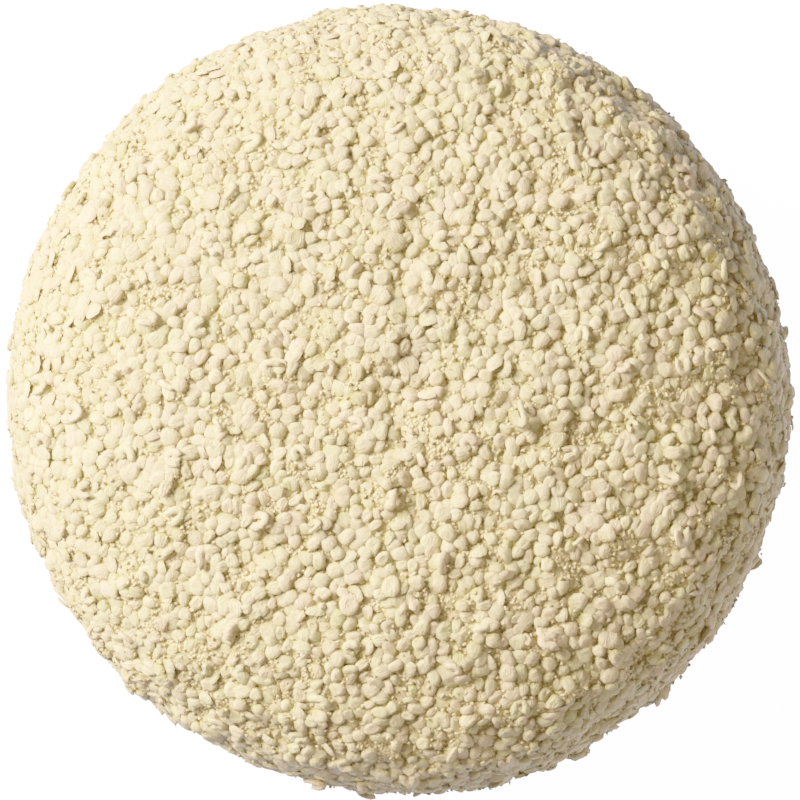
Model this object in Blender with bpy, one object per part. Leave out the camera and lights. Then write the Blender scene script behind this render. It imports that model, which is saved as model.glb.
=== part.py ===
"""A round, squat pouf covered in chunky boucle: one filled, closed body with a
broad, gently domed crown, a rounded shoulder, sides that draw in towards the
floor and a flat foot.

Metres, +Z up. The origin is the middle of the foot, on the floor.
"""

import math

import bmesh
import bpy
import numpy as np
from mathutils import noise

# Driving dimensions. They reach as far as the pile does.
WIDTH = 0.450  # across the widest girth
HEIGHT = 0.360  # from the floor to the top of the crown
GIRTH_HEIGHT = 0.170  # level of the widest girth above the floor
CROWN_RISE = 0.024  # how far the filling domes the top
FOOT_WIDTH = 0.310  # across the flat patch that the pouf stands on

# How square the outline turns over at its edges: 2 is an ellipse, more is boxier.
SHOULDER_FULLNESS = 5.4
BASE_FULLNESS = 3.4

# Unevenness of the filling and of the tufts of pile, sunk in from the outline.
STUFFING_SPACING = 0.085
STUFFING_DEPTH = 0.0040
TUFT_SPACING = 0.016
TUFT_DEPTH = 0.0090
FOOT_FADE = 0.030  # the unevenness fades out over this height above the floor

# The skin starts as a ball of 20 large triangles, each edge cut this many times.
EDGE_CUTS = 23
OUTLINE_STEPS = 1500
FLAT = 1e-6  # heights under this count as on the floor

IVORY = (0.80, 0.72, 0.52, 1.0)
CLOTH_ROUGHNESS = 0.95


def clear_scene():
    for thing in list(bpy.data.objects):
        bpy.data.objects.remove(thing, do_unlink=True)


def cloth_material(name, colour, roughness):
    material = bpy.data.materials.new(name)
    material.use_nodes = True
    shader = material.node_tree.nodes["Principled BSDF"]
    shader.inputs["Base Color"].default_value = colour
    shader.inputs["Roughness"].default_value = roughness
    shader.inputs["Metallic"].default_value = 0.0
    return material


def crown_outline():
    """Radius and height from the top of the crown down to the widest girth.

    A rounded-square quarter curve makes the shoulder, and a shallow dome lies
    on top of it.
    """
    angle = np.linspace(0.0, math.pi / 2, OUTLINE_STEPS)
    power = 2.0 / SHOULDER_FULLNESS
    reach = np.sin(angle) ** power
    shoulder = (HEIGHT - GIRTH_HEIGHT - CROWN_RISE) * np.abs(np.cos(angle)) ** power
    dome = CROWN_RISE * (1.0 - reach**2)
    return WIDTH / 2 * reach, GIRTH_HEIGHT + shoulder + dome


def base_outline():
    """Radius and height from the widest girth down to the edge of the foot.

    The curve would close somewhere under the floor. Its depth is chosen so that
    it passes through the edge of the foot at floor level.
    """
    foot_share = (FOOT_WIDTH / WIDTH) ** BASE_FULLNESS
    depth = GIRTH_HEIGHT / (1.0 - foot_share) ** (1.0 / BASE_FULLNESS)
    drop = np.linspace(0.0, GIRTH_HEIGHT, OUTLINE_STEPS)
    reach = (1.0 - (drop / depth) ** BASE_FULLNESS) ** (1.0 / BASE_FULLNESS)
    return WIDTH / 2 * reach, GIRTH_HEIGHT - drop


def whole_outline():
    """The outline from the top of the crown to the middle of the foot.

    Returns radius, height, and the share of the whole skin that lies above.
    """
    crown_radius, crown_height = crown_outline()
    base_radius, base_height = base_outline()
    radius = np.concatenate([crown_radius, base_radius[1:], [0.0]])
    height = np.concatenate([crown_height, base_height[1:], [0.0]])
    length = np.hypot(np.diff(radius), np.diff(height))
    band = (radius[1:] + radius[:-1]) * length
    share = np.concatenate([[0.0], np.cumsum(band)]) / band.sum()
    return radius, height, share


def even_ball():
    """A unit ball of nearly equal triangles."""
    mesh = bmesh.new()
    bmesh.ops.create_icosphere(mesh, subdivisions=1, radius=1.0)
    edges = list(mesh.edges)
    bmesh.ops.subdivide_edges(mesh, edges=edges, cuts=EDGE_CUTS, use_grid_fill=True)
    for vert in mesh.verts:
        vert.co.normalize()
    return mesh


def shape_to_outline(mesh):
    """Moves the ball's points onto the outline, with the triangles kept even."""
    radius, height, share = whole_outline()
    for vert in mesh.verts:
        above = (1.0 - vert.co.z) / 2.0
        around = math.atan2(vert.co.y, vert.co.x)
        reach = float(np.interp(above, share, radius))
        vert.co.x = reach * math.cos(around)
        vert.co.y = reach * math.sin(around)
        vert.co.z = float(np.interp(above, share, height))
    mesh.normal_update()


def unevenness(point):
    """How far the skin is sunk in at a point, from nothing to both depths."""
    stuffing = 0.5 + 0.5 * noise.noise(point / STUFFING_SPACING)
    tufts = 0.5 + 0.5 * noise.noise(point / TUFT_SPACING)
    fade = min(1.0, point.z / FOOT_FADE)
    return (STUFFING_DEPTH * stuffing + TUFT_DEPTH * tufts) * fade


def press_in(mesh):
    """Sinks every point that is off the floor by its share of the unevenness."""
    for vert in mesh.verts:
        if vert.co.z > FLAT:
            vert.co = vert.co - vert.normal * unevenness(vert.co)


def fit_to_size(mesh):
    """Brings the outermost tufts back to the driving sizes, over the origin."""
    places = np.array([vert.co[:] for vert in mesh.verts])
    low = places.min(axis=0)
    high = places.max(axis=0)
    scale = np.array([WIDTH, WIDTH, HEIGHT]) / (high - low)
    middle = (low + high) / 2.0
    middle[2] = 0.0
    for vert, place in zip(mesh.verts, places):
        vert.co = (place - middle) * scale


def flatten_foot(mesh):
    """Makes the patch on the floor one flat face, then cuts that into triangles."""
    flat = [face for face in mesh.faces if all(vert.co.z < FLAT for vert in face.verts)]
    for vert in {vert for face in flat for vert in face.verts}:
        vert.co.z = 0.0
    foot = bmesh.ops.dissolve_faces(mesh, faces=flat, use_verts=True)["region"]
    bmesh.ops.triangulate(mesh, faces=foot)


def pouf_body(name, material):
    mesh = even_ball()
    shape_to_outline(mesh)
    press_in(mesh)
    fit_to_size(mesh)
    flatten_foot(mesh)
    bmesh.ops.recalc_face_normals(mesh, faces=mesh.faces)
    data = bpy.data.meshes.new(name)
    mesh.to_mesh(data)
    mesh.free()
    data.shade_smooth()
    data.materials.append(material)
    body = bpy.data.objects.new(name, data)
    bpy.context.scene.collection.objects.link(body)
    return body


clear_scene()
pouf_body("pouf_body", cloth_material("ivory_boucle", IVORY, CLOTH_ROUGHNESS))
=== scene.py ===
# %% [markdown]
# A round pouf in chunky boucle
#
# The real thing is a squat, firmly filled drum with a soft shoulder. It wears
# one cover of boucle, a cloth whose thick, loosely spun yarn stands up in
# thousands of small loops. From a step away the loops read as a field of ivory
# petals with fine, knotty ground cloth showing between them.
#
# The solid from the construction model is the fixed frame. It is loaded first,
# and nothing below moves or resizes it. All lengths are in metres.

# %% The fixed frame
import math

import bmesh
import bpy
import numpy as np
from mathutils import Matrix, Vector, noise


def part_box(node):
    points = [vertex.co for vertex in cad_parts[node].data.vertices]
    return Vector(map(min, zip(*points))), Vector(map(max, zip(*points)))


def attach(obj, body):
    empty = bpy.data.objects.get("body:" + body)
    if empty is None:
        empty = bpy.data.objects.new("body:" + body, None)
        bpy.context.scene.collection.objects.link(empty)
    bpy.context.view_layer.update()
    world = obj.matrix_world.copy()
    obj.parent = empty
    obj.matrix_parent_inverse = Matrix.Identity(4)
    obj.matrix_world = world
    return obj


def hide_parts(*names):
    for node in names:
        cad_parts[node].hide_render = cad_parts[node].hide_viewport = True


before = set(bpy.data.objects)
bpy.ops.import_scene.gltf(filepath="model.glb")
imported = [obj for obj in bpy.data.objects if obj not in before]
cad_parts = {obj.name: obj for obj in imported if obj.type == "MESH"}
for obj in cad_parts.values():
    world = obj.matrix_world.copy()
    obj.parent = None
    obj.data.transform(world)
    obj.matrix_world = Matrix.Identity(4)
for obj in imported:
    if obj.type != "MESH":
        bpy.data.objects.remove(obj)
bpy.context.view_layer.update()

BODY = "root"
SOLID = "pouf_body"

low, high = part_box(SOLID)
girth = (high.x - low.x) / 2
top = high.z
print(f"solid: {2 * girth * 1000:.0f} mm across, {top * 1000:.0f} mm high")

# %% [markdown]
# The ground cloth
#
# Boucle is woven or knitted on a plain ground, and the loops stand on it. The
# ground could be drawn as a new shape, but the solid already has the pouf's
# crown, shoulder and lumps of filling. So its skin is copied, welded and sunk in
# by the depth of the pile. The tips of the loops then end where the solid ends.

# %% Copy the skin and sink it under the pile
PILE_DEPTH = 0.0037
WELD = 1e-5


def ground_mesh(solid):
    """The solid's skin as one smooth closed mesh, sunk in by the pile's depth."""
    skin = bmesh.new()
    skin.from_mesh(solid.data)
    bmesh.ops.remove_doubles(skin, verts=skin.verts, dist=WELD)
    bmesh.ops.recalc_face_normals(skin, faces=skin.faces)
    skin.normal_update()
    sunk = [vert.co - vert.normal * PILE_DEPTH for vert in skin.verts]
    for vert, place in zip(skin.verts, sunk):
        vert.co = place
    mesh = bpy.data.meshes.new("ground_cloth")
    skin.to_mesh(mesh)
    skin.free()
    mesh.shade_smooth()
    return mesh


def add_piece(name, mesh):
    piece = bpy.data.objects.new(name, mesh)
    bpy.context.scene.collection.objects.link(piece)
    return piece


ground = add_piece("ground_cloth", ground_mesh(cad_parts[SOLID]))
print("skin:", len(ground.data.polygons), "triangles")

# %% [markdown]
# Rounding the cloth
#
# The solid is made of flat triangles, and a filled cover has none. Smooth shading
# alone would leave their corners in the outline. One round of subdivision cuts
# every triangle into three four-sided faces and rounds the cloth over them. Its
# result is kept as the piece's own mesh, because the loops are planted on it.

# %% Subdivide once and keep the result
def bake_modifiers(piece):
    """Replaces the piece's mesh by the one that its modifiers give."""
    graph = bpy.context.evaluated_depsgraph_get()
    finished = bpy.data.meshes.new_from_object(piece.evaluated_get(graph))
    piece.modifiers.clear()
    piece.data = finished
    finished.shade_smooth()


rounding = ground.modifiers.new("rounding", "SUBSURF")
rounding.levels = 1
rounding.render_levels = 1
bake_modifiers(ground)
print("ground cloth:", len(ground.data.polygons), "faces")

# %% [markdown]
# Thin patches
#
# The real pile is uneven, and the knotty ground shows through in patches about
# 15 to 25 mm wide. Patches could be marked by hand, but they are everywhere and
# in no order. So a smooth noise over the skin says how thick the pile is at each
# place, and petals keep out of the thinnest patches. Under the foot the pile is
# worn, and more of it is missing.

# %% Where the pile is thin
PATCH_SPACING = 0.013
BARE_BELOW = -0.36
WORN_LEVEL = 0.012
WORN_BELOW = 0.10


def pile_thickness(place):
    """From about -1, a bare patch, to 1, where the pile is thickest."""
    return noise.noise(Vector(place) / PATCH_SPACING)


def full_pile(place):
    under_foot = place[2] < WORN_LEVEL
    return pile_thickness(place) > (WORN_BELOW if under_foot else BARE_BELOW)


print("pile at the middle of the crown:", round(pile_thickness((0, 0, top)), 2))

# %% [markdown]
# Lifting the patches
#
# A patch without petals would look like a pit, yet in real boucle the short knots
# fill it almost to the height of the loops around. Taller knots could do that,
# but they would look like spikes. The cloth itself is lifted there instead, with
# a soft edge, and the knots stay short.

# %% Lift the cloth where it is bare
PATCH_EDGE = 0.15
PATCH_RISE = 0.0028


def get_vectors(source, name):
    values = np.empty(len(source) * 3, np.float32)
    source.foreach_get(name, values)
    return values.reshape(-1, 3)


def lift_patches(mesh):
    places = get_vectors(mesh.vertices, "co")
    normals = get_vectors(mesh.vertices, "normal")
    thickness = np.array([pile_thickness(place) for place in places])
    bare = np.clip((BARE_BELOW + PATCH_EDGE - thickness) / PATCH_EDGE, 0, 1)
    places = places + normals * (PATCH_RISE * bare)[:, None]
    mesh.vertices.foreach_set("co", places.astype(np.float32).ravel())
    mesh.update()
    print(f"bare share of the cloth: {(bare >= 1).mean():.2f}")


lift_patches(ground.data)

# %% [markdown]
# Measuring the cloth
#
# To spread loops evenly, the script must know how much cloth there is and where.
# Asking Blender for one face at a time is slow for so many. So the corners of all
# triangles are read into arrays at once, and half the length of the cross product
# of two edges is a triangle's area.

# %% Measure every triangle of the cloth
def corner_arrays(mesh):
    """Places and normals of every triangle's three corners."""
    mesh.calc_loop_triangles()
    count = len(mesh.loop_triangles)
    picks = np.empty(count * 3, np.int32)
    mesh.loop_triangles.foreach_get("vertices", picks)
    picks = picks.reshape(-1, 3)
    return get_vectors(mesh.vertices, "co")[picks], get_vectors(mesh.vertices, "normal")[picks]


corners, corner_normals = corner_arrays(ground.data)
edge_a = corners[:, 1] - corners[:, 0]
edge_b = corners[:, 2] - corners[:, 0]
areas = np.linalg.norm(np.cross(edge_a, edge_b), axis=1) / 2
cloth_area = float(areas.sum())
print(f"cloth to cover: {cloth_area:.3f} m2")

# %% [markdown]
# Throwing points at the cloth
#
# Every loop needs a place to stand. The cloth's own corners would do, but they
# lie in rows that show as stripes. Points thrown at random, with each triangle
# hit as often as its area asks, have no rows. A fixed seed gives the same throws
# on every run.

# %% Throw points at the cloth
rng = np.random.default_rng(41)


def unit(vectors):
    return vectors / np.linalg.norm(vectors, axis=-1, keepdims=True)


def throw(count):
    """Random places on the cloth, even by area, with the cloth's normals there."""
    picks = rng.choice(len(areas), count, p=areas / areas.sum())
    a = np.sqrt(rng.random(count))
    b = rng.random(count)
    weights = np.stack([1 - a, a * (1 - b), a * b], axis=1)[..., None]
    places = (corners[picks] * weights).sum(axis=1)
    normals = unit((corner_normals[picks] * weights).sum(axis=1))
    return places, normals


# %% [markdown]
# Thinning the throws
#
# The weaver's loops sit about one loop apart. Raw throws leave clumps and bald
# spots, and a regular lattice has no life. So far more points are thrown than
# are needed, and each is kept only if no kept point is nearer than a set gap.
# A grid of cells, one gap wide, keeps that test quick: only a point's own cell
# and those beside it are searched.

# %% Keep only throws that are a gap apart
THROWS_PER_GAP = 4.0


def crowded(place, cell, kept, gap):
    """True if a kept place lies within gap, in this cell or one beside it."""
    for x in (cell[0] - 1, cell[0], cell[0] + 1):
        for y in (cell[1] - 1, cell[1], cell[1] + 1):
            for z in (cell[2] - 1, cell[2], cell[2] + 1):
                for other in kept.get((x, y, z), ()):
                    if math.dist(place, other) < gap:
                        return True
    return False


def spread(gap, wanted=None):
    """Places at least gap apart, only where wanted says so for a place."""
    places, normals = throw(int(THROWS_PER_GAP * cloth_area / gap**2))
    cells = np.floor(places / gap).astype(int).tolist()
    kept = {}
    chosen = []
    for index, (place, cell) in enumerate(zip(places.tolist(), cells)):
        if wanted is not None and not wanted(place):
            continue
        if not crowded(place, cell, kept, gap):
            kept.setdefault(tuple(cell), []).append(place)
            chosen.append(index)
    print(f"kept {len(chosen)} of {len(places)} throws, {gap * 1000:.1f} mm apart")
    return places[chosen], normals[chosen]


# %% [markdown]
# One petal: the pattern
#
# Most loops are pressed down in use and look like a petal: a soft coin, a bit
# longer than wide, that overlaps its neighbours like a scale. A ball with its
# points moved would spend most of its triangles on the hidden side. So a petal
# is a middle point, a flat ring, a rounded shoulder, a rim and a plain underside.
# The underside has a rim of its own, so that the smooth shading of the top
# doesn't turn under at the edge.

# %% The petal's pattern piece
PETAL_SIDES = 10
SUNKEN_RING = 0.40
SHOULDER_RING = 0.76
SHOULDER_HEIGHT = 0.80
RIM_HEIGHT = -0.35


def circle(radius, height, sides, shift=0.0):
    steps = [2 * math.pi * (k + shift) / sides for k in range(sides)]
    return [(radius * math.cos(t), radius * math.sin(t), height) for t in steps]


def petal_pattern():
    """Points of a low dome of radius 1 and height 1, and its triangles."""
    points = [(0.0, 0.0, 1.0)] + circle(SUNKEN_RING, 1.0, PETAL_SIDES)
    points += circle(SHOULDER_RING, SHOULDER_HEIGHT, PETAL_SIDES, 0.5)
    points += circle(1.0, RIM_HEIGHT, PETAL_SIDES) * 2
    faces = []
    for k in range(PETAL_SIDES):
        after = (k + 1) % PETAL_SIDES
        a, b = 1 + k, 1 + after
        c, d = a + PETAL_SIDES, b + PETAL_SIDES
        e, f = c + PETAL_SIDES, d + PETAL_SIDES
        faces += [(0, a, b), (a, c, b), (b, c, d), (c, e, f), (c, f, d)]
    under = 1 + 3 * PETAL_SIDES
    faces += [(under, under + k + 1, under + k) for k in range(1, PETAL_SIDES - 1)]
    return np.array(points), np.array(faces)


print("triangles in a petal:", len(petal_pattern()[1]))

# %% [markdown]
# One petal: no two alike
#
# Copies of one petal would show at once, even when turned. Every petal gets its
# own length, width and thickness, a slightly uneven outline that tapers to one
# end, a middle that may sink into a dimple, and a bend that lets its ends droop
# over the neighbours. All of them are worked out together, as columns of random
# values, one row for each petal.

# %% Give every petal its own shape
PETAL_HALF_LENGTH = (0.0040, 0.0063)
PETAL_WIDTH_SHARE = (0.60, 1.0)
PETAL_THICKNESS = (0.0011, 0.0019)
ANY_TURN = (0, 6.3)
UNEVENNESS = 0.06
SQUARENESS = (0.0, 0.08)
TAPER = (-0.3, 0.3)
DIMPLE = (-0.2, 0.65)
DIMPLE_SLOPE = 0.6
PETAL_BEND = (-0.08, 0.36)
PETAL_CURL = (-0.22, 0.22)


def column(low_value, high_value, count):
    """Random values, one row for each loop."""
    return rng.uniform(low_value, high_value, (count, 1))


def petals(count):
    """Points of every petal in its own axes: x across, y along, z out."""
    points, faces = petal_pattern()
    x, y, z = points.T[:, None, :]
    around = np.arctan2(y, x)
    half_long = column(*PETAL_HALF_LENGTH, count)
    half_wide = half_long * column(*PETAL_WIDTH_SHARE, count)
    thick = column(*PETAL_THICKNESS, count)
    oval = 1 + UNEVENNESS * np.cos(2 * around + column(*ANY_TURN, count))
    oval = oval + UNEVENNESS * np.cos(3 * around + column(*ANY_TURN, count))
    oval = oval - column(*SQUARENESS, count) * np.cos(4 * around)
    along = y * oval
    across = x * oval * (1 + column(*TAPER, count) * along)
    sunk = (z == 1.0) * (1 - DIMPLE_SLOPE * np.hypot(x, y) / SUNKEN_RING)
    dimple = 1 - sunk * column(*DIMPLE, count)
    bend = column(*PETAL_BEND, count) * half_long
    curl = column(*PETAL_CURL, count) * half_wide
    out = z * thick * dimple - bend * along**2 - curl * across**2
    return np.stack([across * half_wide, along * half_long, out], axis=2), faces


print(f"petals: {2000 * PETAL_HALF_LENGTH[0]:.0f} to {2000 * PETAL_HALF_LENGTH[1]:.0f} mm long")

# %% [markdown]
# One open loop
#
# Here and there a loop still stands open, like a small arch or a letter C. A
# curve with a bevel would make one well, but hundreds of them must become plain
# arrays. So its pattern is a strip of rings, each point known by its angle round
# the loop and round the yarn, and the sizes come after.

# %% The open loop's pattern piece
LOOP_RINGS = 8
LOOP_SIDES = 5
LOOP_SWEEP = math.radians(250)


def loop_pattern():
    """For every point, its angle round the loop and round the yarn."""
    points = []
    faces = []
    for ring in range(LOOP_RINGS):
        sweep = LOOP_SWEEP * (ring / (LOOP_RINGS - 1) - 0.5)
        points += [(sweep, 2 * math.pi * k / LOOP_SIDES) for k in range(LOOP_SIDES)]
    for ring in range(LOOP_RINGS - 1):
        for k in range(LOOP_SIDES):
            after = (k + 1) % LOOP_SIDES
            a, b = ring * LOOP_SIDES + k, ring * LOOP_SIDES + after
            c, d = a + LOOP_SIDES, b + LOOP_SIDES
            faces += [(a, b, d), (a, d, c)]
    end = (LOOP_RINGS - 1) * LOOP_SIDES
    for k in range(1, LOOP_SIDES - 1):
        faces += [(0, k + 1, k), (end, end + k, end + k + 1)]
    return np.array(points), np.array(faces)


print("triangles in an open loop:", len(loop_pattern()[1]))

# %% [markdown]
# From two angles to a loop of yarn
#
# The angle round the loop places a ring on an oval, and the angle round the yarn
# places a point on that ring. Each loop draws its own oval and its own yarn. The
# yarn is a little flat, as roving is, and in fat loops the gap in the middle
# nearly closes.

# %% Give every open loop its own shape
LOOP_HALF_WIDTH = (0.0024, 0.0036)
LOOP_LENGTH_SHARE = (1.1, 1.9)
YARN_SHARE = (0.70, 0.95)
FLATNESS = (0.55, 0.85)
LOOP_CURL = (-0.3, 0.3)


def open_loops(count):
    points, faces = loop_pattern()
    sweep, round_yarn = points.T[:, None, :]
    half_wide = column(*LOOP_HALF_WIDTH, count)
    half_long = half_wide * column(*LOOP_LENGTH_SHARE, count)
    yarn = half_wide * column(*YARN_SHARE, count)
    flat = yarn * column(*FLATNESS, count)
    across = np.sin(sweep) * (half_wide + yarn * np.cos(round_yarn))
    along = np.cos(sweep) * (half_long + yarn * np.cos(round_yarn))
    out = flat * np.sin(round_yarn) + column(*LOOP_CURL, count) * across**2 / half_wide
    return np.stack([across, along, out], axis=2), faces


print(f"open loops: {2000 * LOOP_HALF_WIDTH[0]:.1f} to {2000 * LOOP_HALF_WIDTH[1]:.1f} mm"
      " across the middle of the yarn")

# %% [markdown]
# One knot
#
# Between the loops lie short bits and knots of the fine ground yarn, 1 to 3 mm
# long. There are very many and each is only a few pixels wide in the picture, so
# a knot is the least shape that still shades as a rounded grain: two low
# pyramids, base to base.

# %% The knot
KNOT_SIDES = 4
KNOT_SIZE = (0.0011, 0.0018)
KNOT_WIDTH_SHARE = (0.8, 1.2)
KNOT_LENGTH_SHARE = (1.0, 1.8)
KNOT_HEIGHT_SHARE = (0.5, 0.8)


def knot_pattern():
    points = [(0.0, 0.0, 1.0)] + circle(1.0, 0.0, KNOT_SIDES) + [(0.0, 0.0, -1.0)]
    last = len(points) - 1
    faces = []
    for k in range(KNOT_SIDES):
        after = (k + 1) % KNOT_SIDES
        faces += [(0, 1 + k, 1 + after), (1 + k, last, 1 + after)]
    return np.array(points), np.array(faces)


def knots(count):
    points, faces = knot_pattern()
    size = column(*KNOT_SIZE, count)
    shares = (KNOT_WIDTH_SHARE, KNOT_LENGTH_SHARE, KNOT_HEIGHT_SHARE)
    shape = np.stack([column(*share, count) for share in shares], axis=2)
    return points[None] * size[..., None] * shape, faces


print("triangles in a knot:", len(knot_pattern()[1]))

# %% [markdown]
# Which way a loop faces
#
# A loop's face may lie flat on the cloth or lean until it stands on edge, and it
# may point any way round. Euler angles would need care at the crown and on the
# sides. Three axes don't: the cloth's normal is leaned over by an angle towards
# a random side, and the other two are spun about it.

# %% Lean and spin
def axes_for(normals, lean):
    """Across, along and out axes for every loop, leaned from its normal."""
    count = len(normals)
    turn = rng.uniform(0, 2 * math.pi, (count, 1))
    spin = rng.uniform(0, 2 * math.pi, (count, 1))
    helper = np.where(np.abs(normals[:, 2:]) < 0.9, [[0.0, 0.0, 1.0]], [[1.0, 0.0, 0.0]])
    side = unit(np.cross(helper, normals))
    towards = np.cos(turn) * side + np.sin(turn) * np.cross(normals, side)
    level = np.cross(normals, towards)
    out = np.cos(lean) * normals + np.sin(lean) * towards
    down = np.cos(lean) * towards - np.sin(lean) * normals
    across = np.cos(spin) * down + np.sin(spin) * level
    return across, np.cross(out, across), out


def lean_angles(count, usual, most):
    """Mostly near the usual lean, in degrees, and never past the most."""
    degrees = np.abs(rng.normal(0, usual, (count, 1)))
    return np.radians(np.minimum(degrees, most))


# %% [markdown]
# Patted down, and pressed on the floor
#
# Use has patted the pile down, so no loop stands much taller than the rest.
# Cutting the tall ones off would leave flat tops. Instead every point's height
# above the cloth is squeezed towards a limit, more the higher it is. The same
# kind of squeeze, towards the floor, presses the loops under the foot level.

# %% Stand the loops on the cloth
FLOOR_CLEARANCE = 0.0004
PRESS_DEPTH = 0.0012
PAT_HEIGHT = 0.0085


def stand(shapes, places, normals, lean, lift):
    """Every loop's points in the frame, patted down and clear of the floor."""
    across, along, out = axes_for(normals, lean)
    points = shapes[..., 0:1] * across[:, None, :] + shapes[..., 1:2] * along[:, None, :]
    points = points + shapes[..., 2:3] * out[:, None, :] + (normals * lift)[:, None, :]
    rise = np.einsum("lpk,lk->lp", points, normals)
    patted = PAT_HEIGHT * np.tanh(rise / PAT_HEIGHT)
    pat_down = np.where(rise > 0, patted - rise, 0.0)
    points = points + pat_down[..., None] * normals[:, None, :] + places[:, None, :]
    pressed = PRESS_DEPTH * np.logaddexp(0, (points[..., 2] - FLOOR_CLEARANCE) / PRESS_DEPTH)
    points[..., 2] = FLOOR_CLEARANCE + pressed
    return points


# %% [markdown]
# Thousands of loops in one mesh
#
# Thousands of separate objects would slow everything down, so all loops of a
# kind are joined in one mesh, straight from arrays. What a material must know of
# a loop is noted on its points: how high a point stands in the pile and on its
# own loop, where it lies along the loop, and a shade and warmth for the whole
# loop.

# %% Join the loops and note what the material needs
CREST_SPAN = 3.2


def add_values(mesh, name, values):
    layer = mesh.attributes.new(name, "FLOAT", "POINT")
    layer.data.foreach_set("value", values.astype(np.float32).ravel())


def add_strands(mesh, shapes):
    """Notes each point's place on its own loop, so that fibres can run along it."""
    strands = shapes.copy()
    strands[..., 2] = np.arange(len(shapes))[:, None]
    layer = mesh.attributes.new("strand", "FLOAT_VECTOR", "POINT")
    layer.data.foreach_set("vector", strands.astype(np.float32).ravel())


def joined(name, shapes, points, faces, places, normals):
    """One mesh of many loops, with each point's depth and each loop's own shade."""
    count, size = points.shape[:2]
    every_face = faces[None] + (np.arange(count) * size)[:, None, None]
    mesh = bpy.data.meshes.new(name)
    mesh.from_pydata(points.reshape(-1, 3).tolist(), [], every_face.reshape(-1, 3).tolist())
    mesh.shade_smooth()
    rise = np.einsum("lpk,lk->lp", points - places[:, None, :], normals)
    own = rise - rise.mean(axis=1, keepdims=True)
    add_values(mesh, "rise", rise / PILE_DEPTH)
    add_values(mesh, "crest", 0.5 + own / (CREST_SPAN * rise.std(axis=1, keepdims=True)))
    add_strands(mesh, shapes)
    add_values(mesh, "shade", np.repeat(rng.normal(0, 1, count), size))
    add_values(mesh, "warmth", np.repeat(rng.normal(0, 1, count), size))
    print(f"{name}: {count} loops, {len(mesh.polygons)} triangles")
    return add_piece(name, mesh)


# %% [markdown]
# Cutting the pile into sectors
#
# One mesh of all petals would be heavy to open and to edit. The pile is cut like
# a cake into equal sectors round the pouf, each a piece of its own. A loop goes
# whole into the sector where it stands, so no seam shows.

# %% Lay one kind of loop, sector by sector
def by_sector(places, sectors):
    """Splits the places into equal sectors round the pouf, so no mesh is too big."""
    around = np.arctan2(places[:, 1], places[:, 0]) / (2 * math.pi) + 0.5
    sector = np.minimum((around * sectors).astype(int), sectors - 1)
    return [sector == k for k in range(sectors)]


def lay_pile(name, kind, places, normals, lean, lift, sectors):
    """Makes the loops of one kind and joins them, sector by sector."""
    shapes, faces = kind(len(places))
    points = stand(shapes, places, normals, lean, lift)
    made = []
    for number, part in enumerate(by_sector(places, sectors), start=1):
        own = (shapes[part], points[part], faces, places[part], normals[part])
        made.append(joined(f"{name}_{number}", *own))
    return made


# %% [markdown]
# Laying the petals
#
# Petals stand about half their length apart, so each overlaps the next. Most lie
# nearly flat and a few stand up. An even height looks like gravel, so neighbours
# rise and fall together in clumps about 2 cm wide, as tufts do. On the sides the
# cover is stretched, and the loops are held closer to it.

# %% Lay the petals
PETAL_GAP = 0.0053
PETAL_LEAN = (21, 65)
PETAL_LIFT = (0.0004, 0.0024)
PETAL_SECTORS = 4
CLUMP_SPACING = 0.019
CLUMP_LIFT = 0.0022
SIDE_SHARE = 0.4


def clump_lift(places):
    """Raises neighbouring petals together, as tufts do."""
    return np.array([[CLUMP_LIFT * noise.noise(Vector(place) / CLUMP_SPACING)] for place in places])


def tightened(normals):
    """1 on the crown, less on the sides, where the stretched cover holds loops down."""
    return SIDE_SHARE + (1 - SIDE_SHARE) * np.abs(normals[:, 2:])


petal_places, petal_normals = spread(PETAL_GAP, full_pile)
petal_count = len(petal_places)
petal_lean = lean_angles(petal_count, *PETAL_LEAN) * tightened(petal_normals)
petal_lift = column(*PETAL_LIFT, petal_count) + clump_lift(petal_places)
petal_pile = lay_pile(
    "petal_pile",
    petals,
    petal_places,
    petal_normals,
    petal_lean,
    petal_lift * tightened(petal_normals),
    sectors=PETAL_SECTORS,
)

# %% [markdown]
# Laying the open loops
#
# Open loops are few: one about every 3 cm. They lean more than petals, up to
# standing on edge, and sit a little higher, so that their opening shows between
# the petals.

# %% Lay the open loops
LOOP_GAP = 0.027
LOOP_LEAN = (45, 90)
LOOP_LIFT = (0.0022, 0.0042)

loop_places, loop_normals = spread(LOOP_GAP)
loop_count = len(loop_places)
loop_lean = lean_angles(loop_count, *LOOP_LEAN) * tightened(loop_normals)
loop_lift = column(*LOOP_LIFT, loop_count) * tightened(loop_normals)
loop_pile = lay_pile(
    "loop_pile",
    open_loops,
    loop_places,
    loop_normals,
    loop_lean,
    loop_lift,
    sectors=1,
)

# %% [markdown]
# Laying the knots
#
# The fine yarn lies everywhere, under the petals too. It could be planted only
# in the thin patches, but then the gaps between petals would show bare cloth. So
# knots are spread over the whole skin, close together and low, and the petals
# hide most of them.

# %% Lay the knots
KNOT_GAP = 0.0036
KNOT_LEAN = (40, 90)
KNOT_LIFT = (0.0, 0.0018)
KNOT_SECTORS = 3

knot_places, knot_normals = spread(KNOT_GAP)
knot_count = len(knot_places)
knot_lean = lean_angles(knot_count, *KNOT_LEAN)
knot_lift = column(*KNOT_LIFT, knot_count)
knot_pile = lay_pile(
    "knot_pile",
    knots,
    knot_places,
    knot_normals,
    knot_lean,
    knot_lift,
    sectors=KNOT_SECTORS,
)

# %% [markdown]
# Small tools for materials
#
# A material is a net of nodes, and written out in full it hides what it does. So
# each small job gets a helper. The first ones make a node, link two nodes, and
# read a value that was noted on the mesh. The nodes read only the mesh and the
# object's own space, so a finish stays put when the camera moves.

# %% Make nodes and link them
def node(material, kind, **settings):
    made = material.node_tree.nodes.new(kind)
    for name, value in settings.items():
        setattr(made, name, value)
    return made


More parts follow.
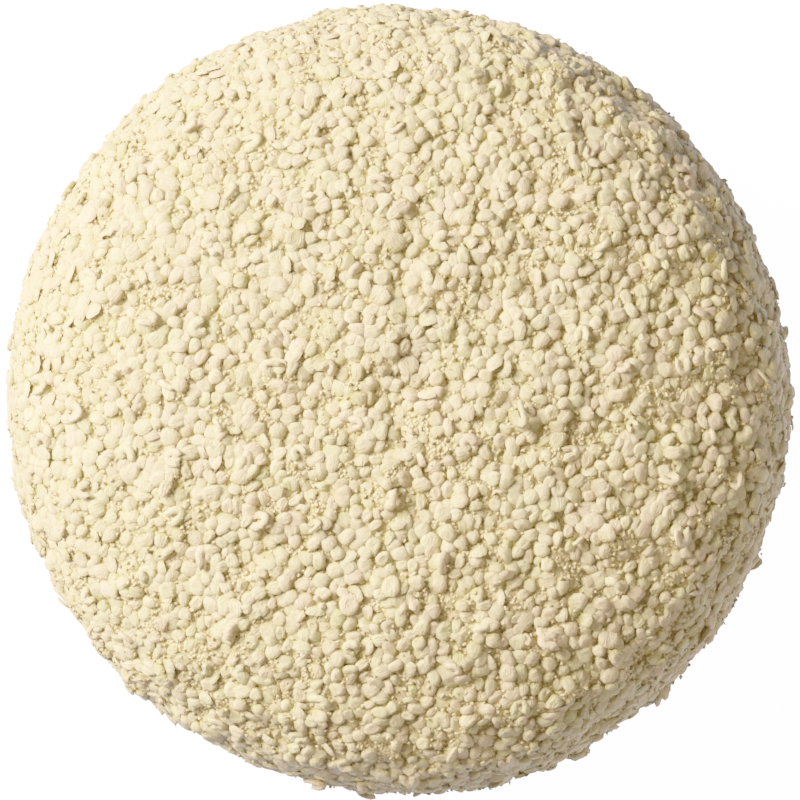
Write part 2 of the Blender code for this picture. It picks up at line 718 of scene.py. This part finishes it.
def link(material, source, target):
    material.node_tree.links.new(source, target)


def attribute(material, name):
    return node(material, "ShaderNodeAttribute", attribute_name=name).outputs["Fac"]


# %% [markdown]
# Stretching and mixing
#
# A value from the mesh seldom has the span that a colour needs. A map range node
# stretches one span to another, and turns it round where the new span falls. The
# mix node takes a plain colour or a link on either side, and the helper looks
# which it was given, so the materials below read like recipes.

# %% Stretch and mix values
WHOLE = (0.0, 1.0)
FALLING = (1.0, 0.0)


def scaled(material, source, span_in, span_out=WHOLE):
    """Stretches one span of values to another, and stops at its ends."""
    span = node(material, "ShaderNodeMapRange")
    span.inputs["From Min"].default_value, span.inputs["From Max"].default_value = span_in
    span.inputs["To Min"].default_value, span.inputs["To Max"].default_value = span_out
    link(material, source, span.inputs["Value"])
    return span.outputs["Result"]


def blended(material, share, first, second, way="MIX"):
    """Mixes two colours, each a plain colour or a socket, by a number or a socket."""
    mix = node(material, "ShaderNodeMix", data_type="RGBA", blend_type=way)
    for socket, value in ((mix.inputs[0], share), (mix.inputs[6], first), (mix.inputs[7], second)):
        if isinstance(value, bpy.types.NodeSocket):
            link(material, value, socket)
        else:
            socket.default_value = value
    return mix.outputs[2]


def combined(material, operation, first, second):
    """Two values multiplied or added."""
    sum_or_product = node(material, "ShaderNodeMath", operation=operation)
    link(material, first, sum_or_product.inputs[0])
    link(material, second, sum_or_product.inputs[1])
    return sum_or_product.outputs[0]


# %% [markdown]
# Wool's surface, and its relief
#
# Wool is dull, with a faint glow where its stray fibres catch the light. A rough
# surface, little mirror shine and a touch of sheen give that. Details under a
# millimetre or two are too fine for the mesh, so they are bump: the shading
# follows a height that the nodes work out.

# %% The shader that both yarns share
def new_cloth(name):
    """A material with wool's dull, faintly glowing surface."""
    material = bpy.data.materials.new(name)
    material.use_nodes = True
    shader = material.node_tree.nodes["Principled BSDF"]
    shader.inputs["Roughness"].default_value = 0.9
    shader.inputs["Specular IOR Level"].default_value = 0.2
    shader.inputs["Sheen Weight"].default_value = 0.15
    shader.inputs["Sheen Roughness"].default_value = 0.6
    print("material:", name)
    return material, shader


def raise_relief(material, shader, height, depth, strength):
    bump = node(material, "ShaderNodeBump")
    bump.inputs["Distance"].default_value = depth
    bump.inputs["Strength"].default_value = strength
    link(material, height, bump.inputs["Height"])
    link(material, bump.outputs["Normal"], shader.inputs["Normal"])


# %% [markdown]
# Crinkle and fibres
#
# Seen close, low yarn is crinkled into grains, and the brushed tops show fine
# streaks of fibre. A cell pattern gives the grains: its value grows from the
# middle of each cell to its edge. The streaks are a noise, stretched along each
# loop's own length. They use the place that was noted on every point, because in
# the pouf's own space all streaks would run one way.

# %% Two fine patterns
FIBRE_WIDTH = 0.0010
FIBRE_LENGTH = 0.0032
FIBRE_CHANGE = 3.7
FIBRE_DETAIL = 3.0
FIBRE_WAVER = 0.7


def grains(material, size):
    """A cell pattern: 0 in the middle of each grain, about 1 at its edge."""
    place = node(material, "ShaderNodeTexCoord").outputs["Object"]
    cells = node(material, "ShaderNodeTexVoronoi")
    cells.inputs["Scale"].default_value = 1 / size
    link(material, place, cells.inputs["Vector"])
    return cells.outputs["Distance"]


def fibres(material):
    """Fine streaks that run along each loop, different on every loop."""
    place = node(material, "ShaderNodeAttribute", attribute_name="strand").outputs["Vector"]
    stretch = node(material, "ShaderNodeVectorMath", operation="MULTIPLY")
    stretch.inputs[1].default_value = (1 / FIBRE_WIDTH, 1 / FIBRE_LENGTH, FIBRE_CHANGE)
    link(material, place, stretch.inputs[0])
    streaks = node(material, "ShaderNodeTexNoise")
    streaks.inputs["Scale"].default_value = 1.0
    streaks.inputs["Detail"].default_value = FIBRE_DETAIL
    streaks.inputs["Distortion"].default_value = FIBRE_WAVER
    link(material, stretch.outputs["Vector"], streaks.inputs["Vector"])
    return streaks.outputs["Fac"]


# %% [markdown]
# The colour of the yarn, with painted shade low in the pile
#
# The yarn is undyed ivory wool. Crests that stand in the light are nearly white.
# Towards its foot a loop lies in shade, where light has bounced from yarn to yarn
# and comes out straw-coloured, and that shade is painted into the colour. So a
# painted foot shade and the ivory tip colour are mixed by each point's height,
# both in the pile and on its own loop. Each loop is then a little darker or
# lighter, greener or pinker than the next.

# %% Painted shade from foot to tip, and own tone from loop to loop
PAINTED_FOOT_SHADE = (0.45, 0.40, 0.045, 1.0)
TIP = (0.94, 0.85, 0.71, 1.0)
PINKER = (1.0, 0.89, 0.90, 1.0)
GREENER = (0.90, 1.0, 0.79, 1.0)
RISE_IN_PILE = (-0.1, 0.9)
RISE_ON_LOOP = (0.0, 0.9)
OWN_SHARE = 0.45
WARMTH_SPAN = (-2.0, 2.0)
SHADE_SPAN = (-2.5, 2.5)
LOOP_SHADES = (0.78, 1.08)


def loop_colour(material, crest):
    """Painted straw shade at the foot to ivory at the tip, and a little different on each loop."""
    rise = scaled(material, attribute(material, "rise"), RISE_IN_PILE)
    height = node(material, "ShaderNodeMix")
    height.inputs[0].default_value = OWN_SHARE
    link(material, rise, height.inputs[2])
    link(material, crest, height.inputs[3])
    # Painted shade: darker and straw-yellow low in the pile and low on each loop.
    colour = blended(material, height.outputs[0], PAINTED_FOOT_SHADE, TIP)
    warmth = scaled(material, attribute(material, "warmth"), WARMTH_SPAN)
    hue = blended(material, warmth, GREENER, PINKER)
    colour = blended(material, 1.0, colour, hue, "MULTIPLY")
    shade = scaled(material, attribute(material, "shade"), SHADE_SPAN, LOOP_SHADES)
    return blended(material, 1.0, colour, shade, "MULTIPLY")


# %% [markdown]
# The whole finish of the pile
#
# Over that colour lie the two fine patterns. The crinkle is strong at the foot of
# a loop, where it adds painted shade in the crevices between its grains and a
# grainy relief, and fades out towards the crest. The fibres streak all of the
# loop faintly, in colour and in relief.
# A second material for the crests would do the same with a hard border between.

# %% The yarn of the pile
PAINTED_CREVICE_SHADE = (0.32, 0.27, 0.035, 1.0)
CRINKLE = 0.0016
CRINKLED_PART = (0.15, 0.75)
CREVICE_SHADE_SPAN = (0.45, 0.80)
CREVICE_SHADE_STRENGTH = 0.8
CELL_SPAN = (0.0, 0.8)
NOISE_SPAN = (0.3, 0.7)
FIBRE_SHADES = (0.78, 1.08)
YARN_RELIEF = 0.0012
YARN_RELIEF_STRENGTH = 0.85


def yarn_material():
    material, shader = new_cloth("ivory_yarn")
    crest = scaled(material, attribute(material, "crest"), RISE_ON_LOOP)
    colour = loop_colour(material, crest)
    cells = grains(material, CRINKLE)
    low_down = scaled(material, crest, CRINKLED_PART, FALLING)
    # Painted shade: dark olive in the crevices at the grains' edges, low on each loop.
    crevice_shade = scaled(material, cells, CREVICE_SHADE_SPAN, (0.0, CREVICE_SHADE_STRENGTH))
    colour = blended(material, combined(material, "MULTIPLY", crevice_shade, low_down), colour, PAINTED_CREVICE_SHADE)
    fibre = fibres(material)
    streak = scaled(material, fibre, NOISE_SPAN, FIBRE_SHADES)
    colour = blended(material, 1.0, colour, streak, "MULTIPLY")
    link(material, colour, shader.inputs["Base Color"])
    crinkle = combined(material, "MULTIPLY", scaled(material, cells, CELL_SPAN, FALLING), low_down)
    height = combined(material, "ADD", crinkle, fibre)
    raise_relief(material, shader, height, YARN_RELIEF, YARN_RELIEF_STRENGTH)
    return material


ivory = yarn_material()

# %% [markdown]
# The fine yarn of the ground
#
# The ground is a crinkle of fine looped yarn, grains about 2 mm wide with shaded
# pinholes between them, and the knots are bits of the same yarn. The knots' own
# meshes are too plain to show that. The cell pattern gives each grain a raised
# middle and a darker, yellower edge, which is painted shade for the pinholes, and
# one material does for cloth and knots.

# %% The ground cloth's material
GRAIN = 0.0019
GRAIN_MIDDLE = (0.86, 0.74, 0.50, 1.0)
PINHOLE_SHADE = (0.26, 0.21, 0.03, 1.0)
PINHOLE_SHADE_SPAN = (0.40, 0.80)
MOTTLE_SIZE = 0.006
MOTTLE_DETAIL = 2
MOTTLE_SHADES = (0.92, 1.06)
GRAIN_RELIEF = 0.0012
GRAIN_RELIEF_STRENGTH = 0.9


def fine_noise(material, size, detail):
    """A noise whose features are about size metres across."""
    place = node(material, "ShaderNodeTexCoord").outputs["Object"]
    cloud = node(material, "ShaderNodeTexNoise")
    cloud.inputs["Scale"].default_value = 1 / size
    cloud.inputs["Detail"].default_value = detail
    link(material, place, cloud.inputs["Vector"])
    return cloud.outputs["Fac"]


def ground_material():
    material, shader = new_cloth("ground_cloth")
    cells = grains(material, GRAIN)
    # Painted shade: each grain turns darker and yellower towards its edge, in the pinholes.
    edge = scaled(material, cells, PINHOLE_SHADE_SPAN)
    colour = blended(material, edge, GRAIN_MIDDLE, PINHOLE_SHADE)
    cloud = fine_noise(material, MOTTLE_SIZE, MOTTLE_DETAIL)
    mottle = scaled(material, cloud, NOISE_SPAN, MOTTLE_SHADES)
    colour = blended(material, 1.0, colour, mottle, "MULTIPLY")
    link(material, colour, shader.inputs["Base Color"])
    height = scaled(material, cells, CELL_SPAN, FALLING)
    raise_relief(material, shader, height, GRAIN_RELIEF, GRAIN_RELIEF_STRENGTH)
    return material


fine_yarn = ground_material()

# %% [markdown]
# Dressing the pieces
#
# Petals and open loops are thick yarn, so they share one material, and the cloth
# and the knots share the other. The cloth's mesh came from the solid and brought
# its plain material along, which is cleared first.

# %% Dress the pieces
pile = petal_pile + loop_pile + knot_pile
for piece in petal_pile + loop_pile:
    piece.data.materials.append(ivory)
ground.data.materials.clear()
for piece in [ground] + knot_pile:
    piece.data.materials.append(fine_yarn)
print("dressed", 1 + len(pile), "pieces")

# %% [markdown]
# What rides on what
#
# The pouf has one body and no joints, so every piece rides on it. The ground
# cloth is the padded piece, full and firm, and it stands in for the plain solid.

# %% Tie the pieces to the frame
for piece in [ground] + pile:
    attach(piece, BODY)
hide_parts(SOLID)
print("every piece rides on", BODY)

# %% [markdown]
# The floor
#
# The pouf stands on a plain floor that is pure white in the picture. A white
# floor lit only by the key would come out grey beside the pouf's bright crown.
# So the floor glows. Its glow would wipe out the shade on the pouf's far side, so
# it is hidden from the rays that carry diffuse light to the cloth. Its tint is
# the white balance turned round, so that it ends up white.

# %% A pale floor
FLOOR_SIZE = 8.0
FLOOR_TINT = (0.55, 0.68, 0.92, 1.0)
GLOW_TINT = (0.34, 0.50, 1.0, 1.0)
FLOOR_GLOW = 8.0


def pale_floor():
    half = FLOOR_SIZE / 2
    mesh = bpy.data.meshes.new("floor")
    edge = [(-half, -half, 0), (half, -half, 0), (half, half, 0), (-half, half, 0)]
    mesh.from_pydata(edge, [], [(0, 1, 2, 3)])
    material = bpy.data.materials.new("pale_floor")
    material.use_nodes = True
    shader = material.node_tree.nodes["Principled BSDF"]
    shader.inputs["Base Color"].default_value = FLOOR_TINT
    shader.inputs["Roughness"].default_value = 0.9
    shader.inputs["Emission Color"].default_value = GLOW_TINT
    shader.inputs["Emission Strength"].default_value = FLOOR_GLOW
    mesh.materials.append(material)
    sheet = add_piece("floor", mesh)
    sheet.visible_diffuse = False
    return sheet


floor = pale_floor()
print(f"floor: {FLOOR_SIZE:.0f} m wide")

# %% [markdown]
# Key, fill and room
#
# One broad, soft light stands at the upper left of the picture and low enough to
# rake across the pile. That gives each petal a lit and a shaded side. A world of
# plain white would fill those shades, so the room is nearly dark and warm. A
# weak fill stands close to the floor at the lower right. It reaches little but
# the sides of the pouf there, as light thrown back by a pale floor does.

# %% The lights
KEY_PLACE = Vector((-1.75, 0.85, 1.43))
KEY_SIZE = 1.5
KEY_POWER = 183
FILL_PLACE = Vector((2.4, -1.7, 0.28))
FILL_SIZE = 0.5
FILL_POWER = 13
ROOM_LIGHT = 0.055
ROOM_COLOUR = (1.0, 0.90, 0.50, 1.0)


def soft_light(name, place, size, power, aim):
    light = bpy.data.lights.new(name, "AREA")
    light.shape = "DISK"
    light.size = size
    light.energy = power
    lamp = bpy.data.objects.new(name, light)
    lamp.location = place
    lamp.rotation_euler = (aim - place).to_track_quat("-Z", "Y").to_euler()
    lamp.visible_camera = False
    bpy.context.scene.collection.objects.link(lamp)


middle = Vector((0, 0, top / 2))
soft_light("key", KEY_PLACE, KEY_SIZE, KEY_POWER, middle)
soft_light("fill", FILL_PLACE, FILL_SIZE, FILL_POWER, middle)
world = bpy.data.worlds.new("studio")
world.use_nodes = True
backdrop = world.node_tree.nodes["Background"]
backdrop.inputs["Strength"].default_value = ROOM_LIGHT
backdrop.inputs["Color"].default_value = ROOM_COLOUR
bpy.context.scene.world = world
print(f"key: {(KEY_PLACE - middle).length:.1f} m away, {KEY_POWER} W")

# %% [markdown]
# The picture's tones
#
# In a photograph the bright side of wool doesn't go flat white: film and camera
# roll the highlights off, and shades open up. The plain view curve clips instead.
# So the scene's own view curve gets a film response: a soft power law, a short
# straight toe, and a shoulder that levels off. The power law is left to the view
# gamma, because the curve's table is too coarse for it in the darks. The white
# level of each channel is the white balance.

# %% A film response
WHITE_BALANCE = (1.28, 0.87, 0.455)
BRIGHTEST = 8.0
CURVE_STEPS = 20
SOFTNESS = 1.85
EXPOSURE = 5.7
CONTRAST = 0.5
TOE = 0.06
SHOULDER = 1.02


def film_response(light):
    """How bright the picture gets for an amount of light, both 1 at white."""
    softened = CONTRAST * (EXPOSURE * light) ** (1 / SOFTNESS)
    over = max(softened - TOE, 0)
    return min(min(softened, TOE) + SHOULDER * (1 - math.exp(-over / SHOULDER)), 1.0)


def set_response(view):
    view.view_transform = "Standard"
    view.gamma = SOFTNESS
    view.use_curve_mapping = True
    mapping = view.curve_mapping
    mapping.white_level = [BRIGHTEST / gain for gain in WHITE_BALANCE]
    curve = mapping.curves[3]
    curve.points[-1].location = (1.0, film_response(BRIGHTEST) ** SOFTNESS)
    for step in range(1, CURVE_STEPS):
        share = (step / CURVE_STEPS) ** 2
        curve.points.new(share, film_response(share * BRIGHTEST) ** SOFTNESS)
    mapping.update()


set_response(bpy.context.scene.view_settings)
print(f"response at a tenth, half and full light: {film_response(0.1):.2f}, "
      f"{film_response(0.5):.2f}, {film_response(1.0):.2f}")

# %% [markdown]
# The camera
#
# The picture looks straight down on the crown. The pouf's edge lies about 394
# pixels from the middle of a picture 800 pixels wide, and its middle is about a
# pixel to the left. A distant camera with a long lens keeps the sides hidden
# behind that edge. The edge that shows is not the crown's but the widest girth's,
# so the scale is set at a level below the top.

# %% Look straight down
PICTURE = 800
EDGE_PIXELS = 395.6
MIDDLE_LEFT = -1.2
MIDDLE_UP = -0.1
CAMERA_DISTANCE = 3.0
SENSOR = 36.0
EDGE_SHARE = 0.62

edge_level = top * EDGE_SHARE
metres_per_pixel = girth / EDGE_PIXELS
camera = bpy.data.cameras.new("camera")
camera.sensor_width = SENSOR
camera.lens = SENSOR * CAMERA_DISTANCE / (PICTURE * metres_per_pixel)
viewer = bpy.data.objects.new("camera", camera)
viewer.location = (
    MIDDLE_LEFT * metres_per_pixel,
    -MIDDLE_UP * metres_per_pixel,
    edge_level + CAMERA_DISTANCE,
)
bpy.context.scene.collection.objects.link(viewer)
bpy.context.scene.camera = viewer
print(f"lens {camera.lens:.0f} mm at {CAMERA_DISTANCE} m")
